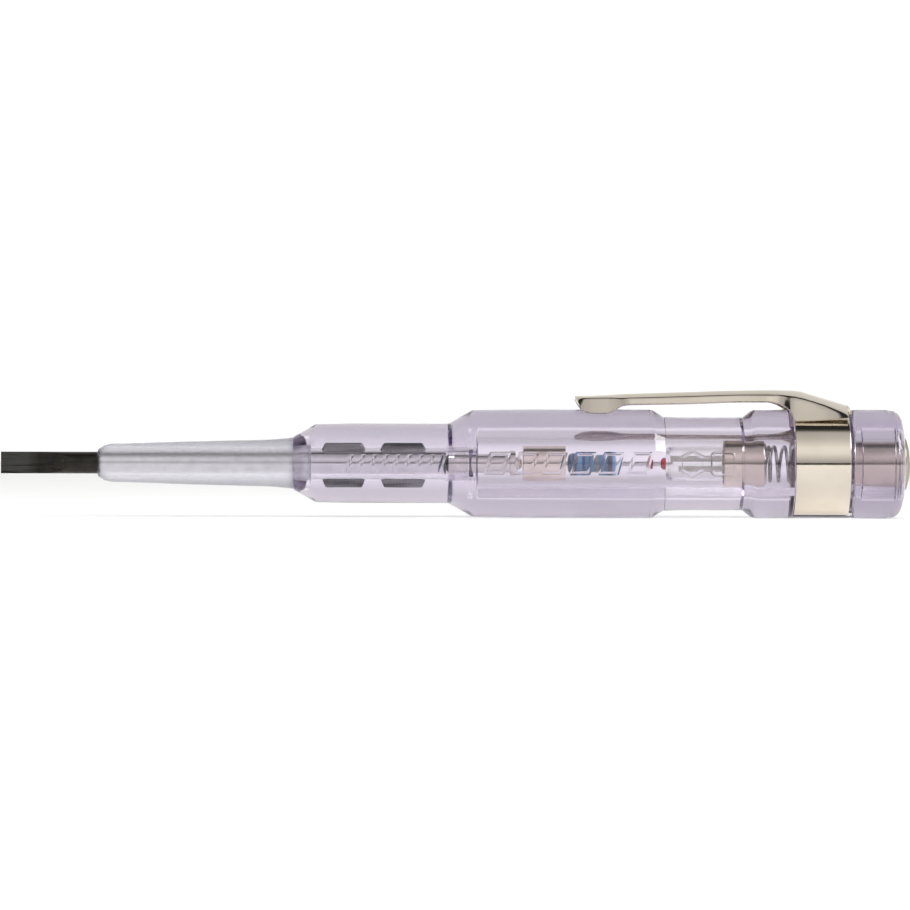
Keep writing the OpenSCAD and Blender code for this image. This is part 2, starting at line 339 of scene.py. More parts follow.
def clear_plastic(name, colour, absorb, density, ior=1.478, rough=(0.015, 0.05), wave=0.10,
                  grain=0.0, grain_scale=6000, fine=0.03, bore=0.0):
    """Clear moulded plastic: tint by depth, faint flow waviness, hairline scratches."""
    s = Mat(name)
    s.set(Base_Color=(*colour, 1), Transmission_Weight=1.0, IOR=ior)
    r = s.ramp(s.noise(900, 3.0), [(0.35, rough[0]), (0.7, rough[1])])
    if bore:
        ln = s.node("ShaderNodeVectorMath", operation="LENGTH")
        s.link(s.mapping((0, 1, 1)), ln.inputs[0])
        near = s.math("MULTIPLY", s.math("SUBTRACT", 0.0046, ln.outputs["Value"]), 4000.0, clamp=True)
        r = s.math("ADD", r, s.math("MULTIPLY", near, bore))
    s.link(r, s.b.inputs["Roughness"])
    flow = s.noise(260, 2.0, 0.4, s.mapping((0.35, 1, 1)))
    n = s.bump(flow, wave, 0.0004)
    scr = s.noise(2600, 2.0, 0.6, s.mapping((0.06, 1, 1), (0, 0.05, 0.03)))
    n = s.bump(s.ramp(scr, [(0.62, 0.0), (0.70, 1.0)]), fine, 0.00002, n)
    if grain:
        n = s.bump(s.noise(grain_scale, 3.0, 0.7), grain, 0.00009, n)
    s.link(n, s.b.inputs["Normal"])
    v = s.node("ShaderNodeVolumeAbsorption")
    v.inputs["Color"].default_value = (*absorb, 1)
    v.inputs["Density"].default_value = density
    s.link(v.outputs[0], s.out.inputs["Volume"])
    return s.m


def metal(name, colour, rough=0.15, dark=None, brush=None, spots=0.3, bump=0.08, scale=1400):
    """Plated or drawn metal: uneven roughness, faint tarnish, fine lines along one way."""
    s = Mat(name)
    s.set(Metallic=1.0)
    dark = dark or tuple(c * 0.72 for c in colour)
    tarnish = s.ramp(s.noise(scale * 0.25, 2.0, 0.5), [(0.42, 0.0), (0.85, spots)])
    s.link(s.mix(tarnish, tuple(colour), tuple(dark)), s.b.inputs["Base Color"])
    vec = s.mapping(brush) if brush else s.mapping((1, 1, 1))
    lines = s.noise(scale, 4.0, 0.6, vec)
    s.link(s.ramp(lines, [(0.3, rough * 0.7), (0.75, min(1.0, rough * 1.5))]), s.b.inputs["Roughness"])
    s.link(s.bump(lines, bump, 0.00001), s.b.inputs["Normal"])
    return s.m


M = {}
M["handle"] = clear_plastic("clear_violet_plastic", (0.955, 0.94, 0.965), (0.50, 0.40, 0.60), 66, bore=0.07)
M["cap"] = clear_plastic("clear_cap_plastic", (0.94, 0.925, 0.95), (0.50, 0.41, 0.59), 92, bore=0.12)
M["sleeve"] = clear_plastic("clear_sleeve_plastic", (0.96, 0.96, 0.97), (0.60, 0.58, 0.68), 150, ior=1.49,
                            rough=(0.035, 0.10), wave=0.12, grain=0.75, grain_scale=3600)
M["clip"] = metal("clip_nickel", (0.725, 0.66, 0.57), 0.065, (0.56, 0.49, 0.39), (1, 6, 6), 0.35, 0.04, 900)
M["clip_inner"] = metal("clip_inner_dull", (0.72, 0.67, 0.59), 0.26, (0.52, 0.47, 0.40), (1, 4, 4), 0.6, 0.2, 1200)
M["nickel"] = metal("bright_nickel", (0.80, 0.77, 0.72), 0.12, (0.60, 0.55, 0.48), (1, 1, 1), 0.3, 0.05, 1800)
M["ferrule"] = metal("ferrule_metal", (0.93, 0.85, 0.76), 0.15, (0.70, 0.58, 0.46), (1, 1, 1), 0.5, 0.05, 1300)
M["cup"] = metal("cup_metal", (0.74, 0.66, 0.58), 0.17, (0.50, 0.42, 0.35), (1, 1, 1), 0.6, 0.05, 1100)
M["wire"] = metal("tinned_wire", (0.74, 0.73, 0.71), 0.25, (0.5, 0.48, 0.45), (0.3, 3, 3), 0.4, 0.1, 3000)
M["electrode"] = metal("electrode_nickel", (0.66, 0.62, 0.58), 0.38, (0.40, 0.36, 0.33), (1, 1, 1), 0.7, 0.2, 3500)
M["spring"] = metal("spring_wire", (0.42, 0.41, 0.41), 0.22, (0.16, 0.15, 0.15), (1, 1, 1), 0.5, 0.15, 2600)


def blade_material():
    s = Mat("black_blade_steel")
    x, ang = s.axial()
    cover = s.math("SUBTRACT", x, 0.0137)
    cover = s.math("MULTIPLY", cover, 4000.0, clamp=True)          # 0 on the blade, 1 under the sleeve
    edge = s.noise(700, 4.0, 0.6)
    grind = s.noise(2600, 4.0, 0.65, s.mapping((0.03, 1.0, 1.0)))
    black = s.mix(s.ramp(edge, [(0.35, 0.0), (0.7, 1.0)]), (0.030, 0.028, 0.026), (0.044, 0.039, 0.034))
    tip = s.math("MULTIPLY", s.math("SUBTRACT", 0.0052, x), 600.0, clamp=True)
    black = s.mix(tip, black, (0.072, 0.071, 0.067))
    black = s.mix(s.ramp(grind, [(0.60, 0.0), (0.70, 0.5)]), black, (0.10, 0.095, 0.09))
    black = s.mix(s.ramp(grind, [(0.34, 0.8), (0.42, 0.0)]), black, (0.008, 0.007, 0.006))
    bright = s.mix(s.ramp(edge, [(0.4, 0.0), (0.8, 0.5)]), (0.80, 0.79, 0.80), (0.52, 0.50, 0.50))
    # the shank's last 0.2 mm and its end face are painted near-black: painted shade of the gap in front of the contact
    # pin
    cut = s.math("MULTIPLY", s.math("SUBTRACT", x, 0.0610), 8000.0, clamp=True)
    s.link(s.mix(cut, s.mix(cover, black, bright), (0.03, 0.028, 0.026)), s.b.inputs["Base Color"])
    s.set(Metallic=1.0)
    r0 = s.ramp(grind, [(0.3, 0.26), (0.7, 0.46)])
    r1 = s.ramp(edge, [(0.3, 0.10), (0.8, 0.22)])
    s.link(s.mix(cover, r0, r1), s.b.inputs["Roughness"])
    s.link(s.bump(grind, 0.18, 0.00002), s.b.inputs["Normal"])
    return s.m


M["blade"] = blade_material()


def wing_material():
    s = Mat("pinched_wing_steel")
    x, ang = s.axial()
    hatch = s.math("SINE", s.math("MULTIPLY", x, 2 * pi / 0.00042))
    hatch = s.math("MULTIPLY_ADD", hatch, 0.5)
    s.set(Metallic=0.9)
    streak = s.ramp(s.noise(1500, 3.0, 0.6, s.mapping((0.05, 1, 1))), [(0.38, 0.0), (0.62, 1.0)])
    steel = s.mix(streak, (0.06, 0.06, 0.065), (0.36, 0.35, 0.36))
    fine = s.ramp(s.math("ADD", hatch, 0.5), [(0.2, 0.30), (0.8, 0.0)])
    s.link(s.mix(fine, steel, (0.05, 0.05, 0.055)), s.b.inputs["Base Color"])
    s.set(Roughness=0.45)
    return s.m


M["wing"] = wing_material()


def lacquer():
    s = Mat("resistor_lacquer")
    x, ang = s.axial()
    t = s.math("DIVIDE", s.math("SUBTRACT", x, 0.0780), 0.0067, clamp=True)
    blue, band = (0.12, 0.245, 0.42), (0.055, 0.10, 0.17)
    stops = [(0.0, blue), (0.085, (0.085, 0.07, 0.09)), (0.175, blue), (0.29, band), (0.35, blue), (0.43, band),
             (0.49, blue), (0.57, (0.30, 0.27, 0.17)), (0.63, blue), (0.81, (0.085, 0.07, 0.09)), (0.90, blue)]
    col = s.ramp(t, stops, "CONSTANT")
    s.link(s.mix(s.ramp(s.noise(1200, 3), [(0.3, 0.0), (0.8, 0.35)]), col, (0.19, 0.32, 0.48)), s.b.inputs["Base Color"])
    s.set(Roughness=0.28, Coat_Weight=0.6, Coat_Roughness=0.12)
    s.link(s.bump(s.noise(1500, 3), 0.15, 0.00003), s.b.inputs["Normal"])
    return s.m


M["lacquer"] = lacquer()


def red_seal():
    s = Mat("red_seal")
    s.link(s.mix(s.ramp(s.noise(2500, 3), [(0.3, 0.0), (0.8, 0.6)]), (0.55, 0.02, 0.035), (0.30, 0.01, 0.02)),
           s.b.inputs["Base Color"])
    s.set(Roughness=0.2, Coat_Weight=0.5)
    s.link(s.bump(s.noise(2500, 3), 0.2, 0.00004), s.b.inputs["Normal"])
    return s.m


M["red"] = red_seal()


def thin_glass():
    s = Mat("lamp_glass_clear")
    s.set(Base_Color=(0.985, 0.99, 0.985, 1), Transmission_Weight=1.0, IOR=1.5)
    s.link(s.ramp(s.noise(1500, 3), [(0.4, 0.0), (0.8, 0.04)]), s.b.inputs["Roughness"])
    s.link(s.bump(s.noise(500, 2), 0.08, 0.0002), s.b.inputs["Normal"])
    return s.m


M["glass"] = thin_glass()

# ------------------------------------------------------------------ camera

cam = bpy.data.objects.new("camera", bpy.data.cameras.new("camera"))
scene.collection.objects.link(cam)
cam.data.sensor_width = 36
cam.data.lens = 168.0
cam.data.dof.use_dof = False
cam.location = (0.06253, -0.585, 0.00114)
cam.rotation_euler = (radians(90), radians(-0.11), 0)
cam.data.clip_start, cam.data.clip_end = 0.01, 20
scene.camera = cam

# ------------------------------------------------- insulating sleeve, blade

ob = turned("insulating_sleeve_body", [
    (13.36, 1.56), (13.36, 1.86, 0.22), (14.25, 2.42, 0.9), (15.1, 2.63, 0.9), (17.8, 2.69, 4), (26, 2.96, 8),
    (37.05, 3.24, 4), (39.2, 3.42, 1.4), (40.27, 3.54, 0.06), (40.27, 2.55, 0.04), (43.25, 2.55, 0.06),
    (43.25, 1.56)], closed=True, seg=224, step=6)
place(ob, M["sleeve"], "tester_body", "insulating_sleeve")


def blade_mesh():
    r = 1.5
    rise = r - 0.30
    w = (4.5 ** 2 + rise ** 2) / (2 * rise)

    def half(x):
        return 0.25 + 0.05 * x / 5 if x <= 5 else (0.30 + w - sqrt(w * w - (x - 5) ** 2) if x < 9.5 else 9)
    xs = [0, 0.03] + [0.25 * k for k in range(1, 21)] + [5 + 0.15 * k for k in range(1, 31)] + [9.7, 11, 13, 20, 40,
                                                                                          61.0, 61.1, 61.2]
    n = 144
    verts, faces = [], []
    for x in xs:
        rr = r if x < 61.05 else (1.46 if x < 61.15 else 1.36)
        if x == 0:
            rr = 1.47
        h = half(x)
        if x == 0:
            h -= 0.03
        for j in range(n):
            a = 2 * pi * j / n
            y, z = rr * cos(a), rr * sin(a)
            verts.append((x, max(-h, min(h, y)), z))
    m = len(xs)
    for i in range(m - 1):
        for j in range(n):
            k = (j + 1) % n
            faces.append([i * n + j, i * n + k, (i + 1) * n + k, (i + 1) * n + j])
    verts += [(0, 0, 0), (61.2, 0, 0)]
    for j in range(n):
        k = (j + 1) % n
        faces.append([m * n, k, j])
        faces.append([m * n + 1, (m - 1) * n + j, (m - 1) * n + k])
    ob = mesh_object("blade_steel", verts, faces)
    sharp_edges(ob, 24)
    return ob


def sharp_edges(ob, deg):
    import bmesh
    bm = bmesh.new()
    bm.from_mesh(ob.data)
    for e in bm.edges:
        if len(e.link_faces) == 2 and e.calc_face_angle(0) > radians(deg):
            e.smooth = False
    bm.to_mesh(ob.data)
    bm.free()


ob = blade_mesh()
place(ob, M["blade"], "tester_body", "blade")


def wing_mesh(name, x0, x1):
    """One pinched wing pair: thin serrated fins, wide at the middle."""
    verts, faces = [], []
    steps = 60
    ca, sa = cos(radians(28)), sin(radians(28))
    for side in (1, -1):
        base = len(verts)
        for i in range(steps + 1):
            t = i / steps
            x = x0 + (x1 - x0) * t
            env = smoothstep(0, 0.12, t) * smoothstep(0, 0.12, 1 - t)
            h = 1.42 + (2.3 - 1.42) * env
            th = 0.10 + 0.15 * env + 0.02 * sin(2 * pi * (x / 0.42))
            ring = [(-th * 1.1, 1.38), (-th * 1.1, h - 0.10), (-th * 0.6, h), (th * 0.6, h), (th * 1.1, h - 0.10),
                    (th * 1.1, 1.38)]
            for y, z in ring:
                y, z = y * side, z * side
                verts.append((x, y * ca - z * sa, y * sa + z * ca))
        k = 6
        for i in range(steps):
            for j in range(k):
                a, b = base + i * k + j, base + i * k + (j + 1) % k
                faces.append([a, a + k, b + k, b])
        faces.append([base + j for j in range(k)])
        faces.append([base + steps * k + j for j in range(k - 1, -1, -1)])
    ob = mesh_object(name, verts, faces)
    fix_normals(ob)
    sharp_edges(ob, 40)
    return ob


def fix_normals(ob):
    import bmesh
    bm = bmesh.new()
    bm.from_mesh(ob.data)
    bmesh.ops.recalc_face_normals(bm, faces=bm.faces)
    bm.to_mesh(ob.data)
    bm.free()


for i, (x0, x1) in enumerate(((44.1, 50.4), (52.1, 58.7))):
    place(wing_mesh(f"blade_wings_{i + 1}", x0, x1), M["wing"], "tester_body", None, more=("blade",))

# ------------------------------------------------------------------ handle

PITCH = 1.0


def thread_wave(x, a):
    """0 at the root, 1 at the crest of a right-hand thread, rounded."""
    p = (x / PITCH - a / (2 * pi)) % 1.0
    t = 1 - abs(2 * p - 1)
    return smoothstep(0.08, 0.92, t)


def even_cut(path, x_from, x_to, step):
    """Cuts the stretch of a path between two X positions into short steps, for the thread."""
    out = []
    n = len(path)
    for i in range(n):
        a, b = path[i], path[(i + 1) % n]
        out.append(a)
        lo, hi = min(a[0], b[0]), max(a[0], b[0])
        if hi - lo > step and lo >= x_from - 1e-6 and hi <= x_to + 1e-6 and abs(a[1] - b[1]) < 0.4:
            m = ceil((hi - lo) / step)
            out += [(a[0] + (b[0] - a[0]) * k / m, a[1] + (b[1] - a[1]) * k / m) for k in range(1, m)]
    return out


def outline(d, half):
    """Height of a raised line where |d| is small: flat top, soft sides."""
    return 1 - smoothstep(half - 0.06, half + 0.06, abs(d))


RELIEF = [(47.2, 61.6), (66.3, 89.5), (92.5, 101.4)]


def relief(x, z):
    """Plain raised marks along the side: slanted bars, outlined lozenges, a hexagon and a rounded square."""
    if abs(z) > 2.3:
        return 0.0
    if 47.2 < x < 61.6:
        best = 0.0
        for i in range(9):
            u = x - (48.1 + 1.58 * i) - 0.30 * z
            best = max(best, outline(max(abs(u) - 0.05, abs(z) - 1.0), 0.12))
        return 0.15 * best
    if 66.3 < x < 89.5:
        best = 0.0
        for i in range(6):
            u = x - (68.25 + 3.9 * i) - 0.28 * z
            best = max(best, outline(max(abs(u) - 1.15, abs(z) - 1.35), 0.13))
        return 0.15 * best
    if 92.5 < x < 101.4:
        u, v = abs(x - 94.9), abs(z)
        d = max(u * 0.5 + v * 0.866, u) - 1.5
        best = outline(d, 0.12)
        u = abs(x - 99.1)
        q = sqrt(max(u - 1.0, 0) ** 2 + max(v - 1.0, 0) ** 2) + min(max(u - 1.0, v - 1.0), 0) - 0.5
        best = max(best, outline(q, 0.12))
        return 0.15 * best
    return 0.0


def handle_mesh():
    pts = [
        (40.3, 2.60, 0.04), (40.3, 3.64, 0.20), (43.35, 5.40, 0.5), (48.5, 5.5, 3), (61.6, 5.5, 0.3),
        (64.9, 7.38, 1.6), (71.5, 7.47, 4), (89.6, 7.47, 1.2), (91.25, 6.5, 0.25), (94, 6.43, 2), (102.05, 6.43, 0.25),
        (103.4, 7.47, 1.4), (108.9, 7.47, 0.12), (108.9, 7.0, 0.05), (116.95, 7.0, 0.15), (116.95, 5.35, 0.1),
        (116.45, 5.06, 0.05), (110.4, 5.06, 0.05), (109.95, 4.7, 0.05), (109.95, 3.42, 0.15), (65.5, 3.35, 0.25),
        (65.5, 1.65, 0.15), (61.25, 1.65, 0.05), (61.25, 1.53), (43.3, 1.53, 0.02), (43.3, 2.6, 0.1)]
    path = supports(fillet(pts, True, 6), True, 0.05, 3.0)
    # the threaded stretch of the counterbore, finely cut
    fine = []
    n = len(path)
    for i in range(n):
        a, b = path[i], path[(i + 1) % n]
        fine.append(a)
        if abs(a[1] - 5.06) < 0.02 and abs(b[1] - 5.06) < 0.02 and abs(a[0] - b[0]) > 0.12:
            m = ceil(abs(a[0] - b[0]) / 0.09)
            fine += [(a[0] + (b[0] - a[0]) * k / m, 5.06) for k in range(1, m)]
    cut = []
    n = len(fine)
    for i in range(n):
        a, b = fine[i], fine[(i + 1) % n]
        cut.append(a)
        if min(a[1], b[1]) > 5.2 and b[0] - a[0] > 0.15:
            inside = [(max(a[0], lo), min(b[0], hi)) for lo, hi in RELIEF if min(b[0], hi) - max(a[0], lo) > 0.05]
            for lo, hi in inside:
                m = ceil((hi - lo) / 0.1)
                for k in range(m + 1):
                    x = lo + (hi - lo) * k / m
                    if a[0] + 0.01 < x < b[0] - 0.01:
                        cut.append((x, a[1] + (b[1] - a[1]) * (x - a[0]) / (b[0] - a[0])))
    fine = cut
    seg = 160
    th = [2 * pi * j / seg for j in range(seg) if abs(2 * pi * j / seg - pi) > radians(17.2)]
    th += [pi + radians(0.7 * k) for k in range(-24, 25)]
    down = -pi / 2 + 2 * pi
    for s in (-1, 1):
        for d in (-0.9, -0.45, -0.15, 0.15, 0.45, 0.9):
            th.append((down + s * radians(18) + radians(d)) % (2 * pi))
    th = sorted(set(round(t, 6) for t in th))

    def shift(i, x, r, a):
        if abs(r - 5.06) < 0.03 and 110.35 < x < 116.5:
            k = smoothstep(110.35, 110.9, x) * (1 - smoothstep(116.1, 116.45, x))
            return x, 5.06 - 0.5 * (1 - thread_wave(x, a)) * k
        if r > 5.2 and x < 102 and abs(a - pi) < radians(17.5):
            return x, r + relief(x, r * sin(a))
        if r > 6.5 and x > 108.86 and x < 116.97:
            off = abs((a - down + pi) % (2 * pi) - pi)
            k = 1 - smoothstep(radians(17.4), radians(18.2), off)
            if r < 7.45:
                return x, r + (7.45 - r) * k
        return x, r
    ob = spin("handle_body", fine, True, angles=th, shift=shift)
    return ob


ob = handle_mesh()
place(ob, M["handle"], "tester_body", "handle")

# ------------------------------------------------------- parts in the bore

def simple(name, pts, mat, node, slot, body="tester_body", closed=False, **kw):
    return place(turned(name, pts, closed=closed, **kw), M[mat], body, node)


def pin_material():
    s = Mat("nickel_pin")
    x, ang = s.axial()
    # the pin's front nose up to 62.2 mm is painted near-black: painted shade of the gap at the shank's end; nickel
    # behind it
    clear_of_nose_shade = s.math("MULTIPLY", s.math("SUBTRACT", x, 0.0622), 6000.0, clamp=True)
    worn = s.noise(700, 2.0, 0.5)
    s.link(s.mix(clear_of_nose_shade, (0.035, 0.032, 0.030), s.mix(s.ramp(worn, [(0.4, 0.0), (0.85, 0.4)]), (0.82, 0.79, 0.75),
                                                    (0.62, 0.56, 0.50))), s.b.inputs["Base Color"])
    s.set(Metallic=1.0)
    s.link(s.ramp(worn, [(0.3, 0.10), (0.8, 0.2)]), s.b.inputs["Roughness"])
    s.link(s.bump(s.noise(2200, 2), 0.06, 0.00001), s.b.inputs["Normal"])
    return s.m


M["pin"] = pin_material()
M["button"] = metal("button_nickel", (0.46, 0.43, 0.385), 0.16, (0.30, 0.27, 0.23), (1, 1, 1), 0.4, 0.05, 1500)
M["button"].node_tree.nodes["Principled BSDF"].inputs["Specular Tint"].default_value = (0.50, 0.46, 0.40, 1)
simple("contact_pin_turned", [(61.28, 0), (61.28, 1.0, 0.25), (62.0, 1.3, 0.3), (70.1, 1.3, 0.05), (70.1, 1.75, 0.12),
                              (70.9, 1.75, 0.12), (70.9, 0.9, 0.08), (71.4, 0.9, 0.2), (71.7, 0.55, 0.15), (71.7, 0)],
       "pin", "contact_pin", "nickel")
simple("contact_ferrule_drawn", [(71.8, 0), (71.8, 2.42, 0.28), (77.7, 2.42, 0.06), (77.7, 2.12, 0.06),
                                 (72.15, 2.12, 0.15), (72.15, 0)], "ferrule", "contact_ferrule", "ferrule_metal",
       d=0.04)
simple("resistor_lead_front", [(72.25, 0), (72.25, 0.3, 0.08), (77.97, 0.3, 0.02), (77.97, 0)], "wire",
       "resistor_front_lead", "tinned_wire", seg=40)
simple("resistor_lacquered", [(78.0, 0), (78.0, 0.5, 0.1), (78.12, 1.15, 0.35), (78.45, 1.4, 0.35), (79.4, 1.4, 0.4),
                              (79.95, 1.22, 0.5), (82.75, 1.22, 0.5), (83.3, 1.4, 0.4), (84.25, 1.4, 0.35),
                              (84.58, 1.15, 0.35), (84.7, 0.5, 0.1), (84.7, 0)], "lacquer", "resistor_body",
       "resistor_lacquer", seg=128)
simple("resistor_lead_rear", [(84.73, 0), (84.73, 0.3, 0.02), (89.75, 0.3, 0.08), (89.75, 0)], "wire",
       "resistor_rear_lead", "tinned_wire", seg=40)
simple("lamp_bead", [(89.3, 0.31), (89.3, 0.62, 0.2), (89.62, 0.86, 0.3), (90.25, 0.86, 0.3), (90.6, 0.6, 0.2),
                     (90.6, 0.31)], "red", "lamp_seal_bead", "red_seal", closed=True, seg=64)
simple("lamp_envelope", [(90.65, 0.27), (90.65, 0.8, 0.2), (91.0, 1.75, 0.5), (91.7, 2.28, 0.6), (92.5, 2.4, 0.8),
                         (101.1, 2.4, 0.5), (101.5, 2.0, 0.4), (101.5, 0.27), (100.9, 0.27), (100.9, 1.6, 0.3),
                         (100.5, 2.05, 0.4), (92.5, 2.05, 0.8), (91.9, 1.9, 0.5), (91.35, 1.3, 0.4), (91.25, 0.6, 0.3),
                         (91.25, 0.27)], "glass", "lamp_glass", "lamp_glass", closed=True, seg=128)


def electrode(name, node, x_lead, x_jog, x_rod0, x_rod1, z):
    s = 1 if x_jog > x_lead else -1
    lead = [(x_lead, 0, 0), (x_jog - s * 0.35, 0, 0), (x_jog - s * 0.12, 0, z * 0.10), (x_jog, 0, z * 0.35),
            (x_jog, 0, z * 0.7), (x_jog + s * 0.1, 0, z)]
    a = swept(name + "_lead", lead, 0.22, 16)
    lo, hi = min(x_rod0, x_rod1), max(x_rod0, x_rod1)
    b = turned(name + "_rod", [(lo, 0), (lo, 0.4, 0.12), (hi, 0.4, 0.12), (hi, 0)], seg=40, off=(0.0, z))
    place(a, M["wire"], "tester_body", None, more=(node,))
    place(b, M["electrode"], "tester_body", None, more=(node,))


electrode("electrode_front", "lamp_front_electrode", 89.85, 92.2, 92.0, 99.2, 0.7)
electrode("electrode_rear", "lamp_rear_electrode", 104.65, 100.2, 93.2, 100.4, -0.7)

simple("contact_cup_drawn", [(99.4, 2.92, 0.06), (99.4, 3.2, 0.08), (101.9, 3.2, 0.1), (102.15, 3.13, 0.15),
                             (102.4, 3.2, 0.1), (104.8, 3.2, 0.3), (105.2, 2.8, 0.25), (105.2, 0), (104.8, 0),
                             (104.8, 2.6, 0.2), (104.6, 2.9, 0.2)], "cup", "contact_cup", "cup_metal", closed=True,
       seg=144)


def spring_mesh():
    wire, x0, x1 = 0.225, 105.2 + 0.03 + 0.225, 111.4 - 0.05 - 0.225
    closed = 0.47
    opened = (x1 - x0 - 2 * closed) / 1.42
    turns = opened + 2

    def x_of(u):
        if u <= 1:
            return x0 + closed * u
        if u <= 1 + opened:
            return x0 + closed + 1.42 * (u - 1)
        return x0 + closed + 1.42 * opened + closed * (u - 1 - opened)
    n = int(turns * 64)
    c = []
    for i in range(n + 1):
        u = turns * i / n
        x = sum(x_of(max(0, min(turns, u + d))) for d in (-0.08, -0.04, 0, 0.04, 0.08)) / 5
        a = 2 * pi * u
        c.append((x, 2.35 * cos(a), 2.35 * sin(a)))
    return swept("contact_spring_wire", c, wire, 14)


ob = spring_mesh()
ob.data.materials.append(M["spring"])
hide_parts("contact_spring")
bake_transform(ob)

simple("spring_washer_stamped", [(111.4, 0.8, 0.04), (111.4, 2.95, 0.12), (111.9, 2.95, 0.12), (111.9, 0.8, 0.04)],
       "spring", "spring_washer", "spring_steel", body="spring_seat", closed=True, seg=96)

# --------------------------------------------------------------- screw cap

def cap_mesh():
    pts = [(110.2, 3.13, 0.05), (110.2, 4.5, 0.1), (110.65, 5.0, 0.1), (116.7, 5.0, 0.05), (116.9, 4.7, 0.1),
           (117.05, 4.8, 0.05), (117.05, 7.42, 0.12), (117.3, 7.5, 0.15), (121.8, 7.5, 2.0), (122.95, 7.3, 0.8),
           (123.45, 6.98, 0.6), (123.8, 6.45, 0.6), (124.02, 5.7, 0.8), (124.1, 4.7, 0.15), (124.0, 4.3, 0.1),
           (124.0, 3.13, 0.05), (122.6, 3.13, 0.1), (122.6, 3.42, 0.2),
           (118.3, 3.42, 0.2), (118.3, 3.13, 0.1)]
    path = supports(fillet(pts, True, 6), True, 0.05, 3.0)
    fine = []
    n = len(path)
    for i in range(n):
        a, b = path[i], path[(i + 1) % n]
        fine.append(a)
        if abs(a[1] - 5.0) < 0.02 and abs(b[1] - 5.0) < 0.02 and abs(a[0] - b[0]) > 0.12:
            m = ceil(abs(a[0] - b[0]) / 0.09)
            fine += [(a[0] + (b[0] - a[0]) * k / m, 5.0) for k in range(1, m)]

    def shift(i, x, r, a):
        if abs(r - 5.0) < 0.03 and x < 116.9:
            k = smoothstep(110.6, 111.0, x) * (1 - smoothstep(116.3, 116.65, x))
            return x, 5.0 - 0.5 * (1 - thread_wave(x, a)) * k
        return x, r
    return spin("screw_cap_body", fine, True, 224, shift=shift)


place(cap_mesh(), M["cap"], "screw_cap", "end_cap")
simple("contact_bush_drawn", [(112.0, 0), (112.0, 3.1, 0.35), (124.0, 3.1, 0.05), (124.0, 2.32, 0.05),
                              (112.5, 2.32, 0.2), (112.5, 0)], "cup", "contact_bush", "cup_metal", body="screw_cap",
       seg=144)
simple("touch_button_turned", [(117.5, 0), (117.5, 2.28, 0.3), (124.13, 2.28, 0.04), (124.13, 3.8, 0.06),
                               (124.3, 3.8, 0.12), (124.62, 3.45, 0.5), (124.95, 2.3, 1.2), (125.0, 0)], "button",
       "touch_button", "nickel", body="screw_cap", seg=144)

# ------------------------------------------------------------- pocket clip

BAND_R, SHEET = 7.02, 0.4


def band_mesh():
    """The open ring: a rounded strip section carried round the handle."""
    a0, a1 = radians(-90 + 19.5), radians(270 - 19.5)
    sec = supports(fillet([(108.95, BAND_R, 0.05), (108.95, BAND_R + SHEET, 0.14), (116.5, BAND_R + SHEET, 0.14),
                           (116.5, BAND_R, 0.05)], True, 15), True, 0.05)
    n = 240
    verts, faces = [], []
    m = len(sec)
    ends = [0.0, 0.04, 0.12, 0.3]
    angs = [a0 + radians(e) * 1.0 for e in ends] + [a0 + (a1 - a0) * k / n for k in range(1, n)] + \
           [a1 - radians(e) for e in ends[::-1]]
    for q, a in enumerate(angs):
        for x, r in sec:
            verts.append((x, r * cos(a), r * sin(a)))
    for i in range(len(angs) - 1):
        for j in range(m):
            k = (j + 1) % m
            faces.append([i * m + j, i * m + k, (i + 1) * m + k, (i + 1) * m + j])
    faces.append(list(range(m - 1, -1, -1)))
    faces.append([(len(angs) - 1) * m + j for j in range(m)])
    ob = mesh_object("clip_band_ring", verts, faces)
    fix_normals(ob)
    sharp_edges(ob, 50)
    return ob


def fold_mesh():
    """Half turn of sheet from the band's rear edge up to the arm."""
    rc, xc, ri, ro = 7.62, 116.3, 0.2, 0.6
    prof = []
    for k in range(17):
        w = -pi / 2 + pi * k / 16
        prof.append((xc + ro * cos(w), rc + ro * sin(w)))
    for k in range(12, -1, -1):
        w = -pi / 2 + pi * k / 12
        prof.append((xc + ri * cos(w), rc + ri * sin(w)))
    n = 40
    verts, faces = [], []
    m = len(prof)
    half = radians(22)
    for i in range(n + 1):
        t = -1 + 2 * i / n
        a = pi / 2 + half * t
        for x, r in prof:
            verts.append((x, r * cos(a), r * sin(a)))
    for i in range(n):
        for j in range(m):
            k = (j + 1) % m
            faces.append([i * m + j, i * m + k, (i + 1) * m + k, (i + 1) * m + j])
    faces.append(list(range(m - 1, -1, -1)))
    faces.append([n * m + j for j in range(m)])
    ob = mesh_object("clip_fold", verts, faces)
    fix_normals(ob)
    sharp_edges(ob, 50)
    return ob


arm_top = table([(79.0, 9.35), (85.5, 9.62), (94, 9.9), (102.5, 10.15), (108.6, 10.2), (109.8, 10.12), (111.0, 9.8),
                 (116.3, 8.22)])
arm_y = table([(79.0, 1.1), (79.3, 2.0), (79.7, 2.6), (80.4, 3.2), (81.4, 3.55), (83.3, 3.55), (84.5, 3.15),
               (85.8, 2.5), (86.8, 2.25), (105.5, 2.25), (106.6, 2.6), (107.6, 3.4), (108.5, 4.6), (109.0, 5.2),
               (116.3, 8.22 * sin(radians(40)))])
arm_z = table([(79.0, 9.12), (79.3, 8.6), (79.7, 7.95), (80.4, 7.2), (81.4, 6.97), (83.3, 6.97), (84.5, 7.5),
               (85.8, 8.15), (86.8, 8.2), (94, 8.32), (102.5, 8.6), (105.5, 8.6), (106.6, 8.4), (107.6, 8.0),
               (108.5, 7.2), (109.0, 5.95), (116.3, 8.22 * cos(radians(40)))])


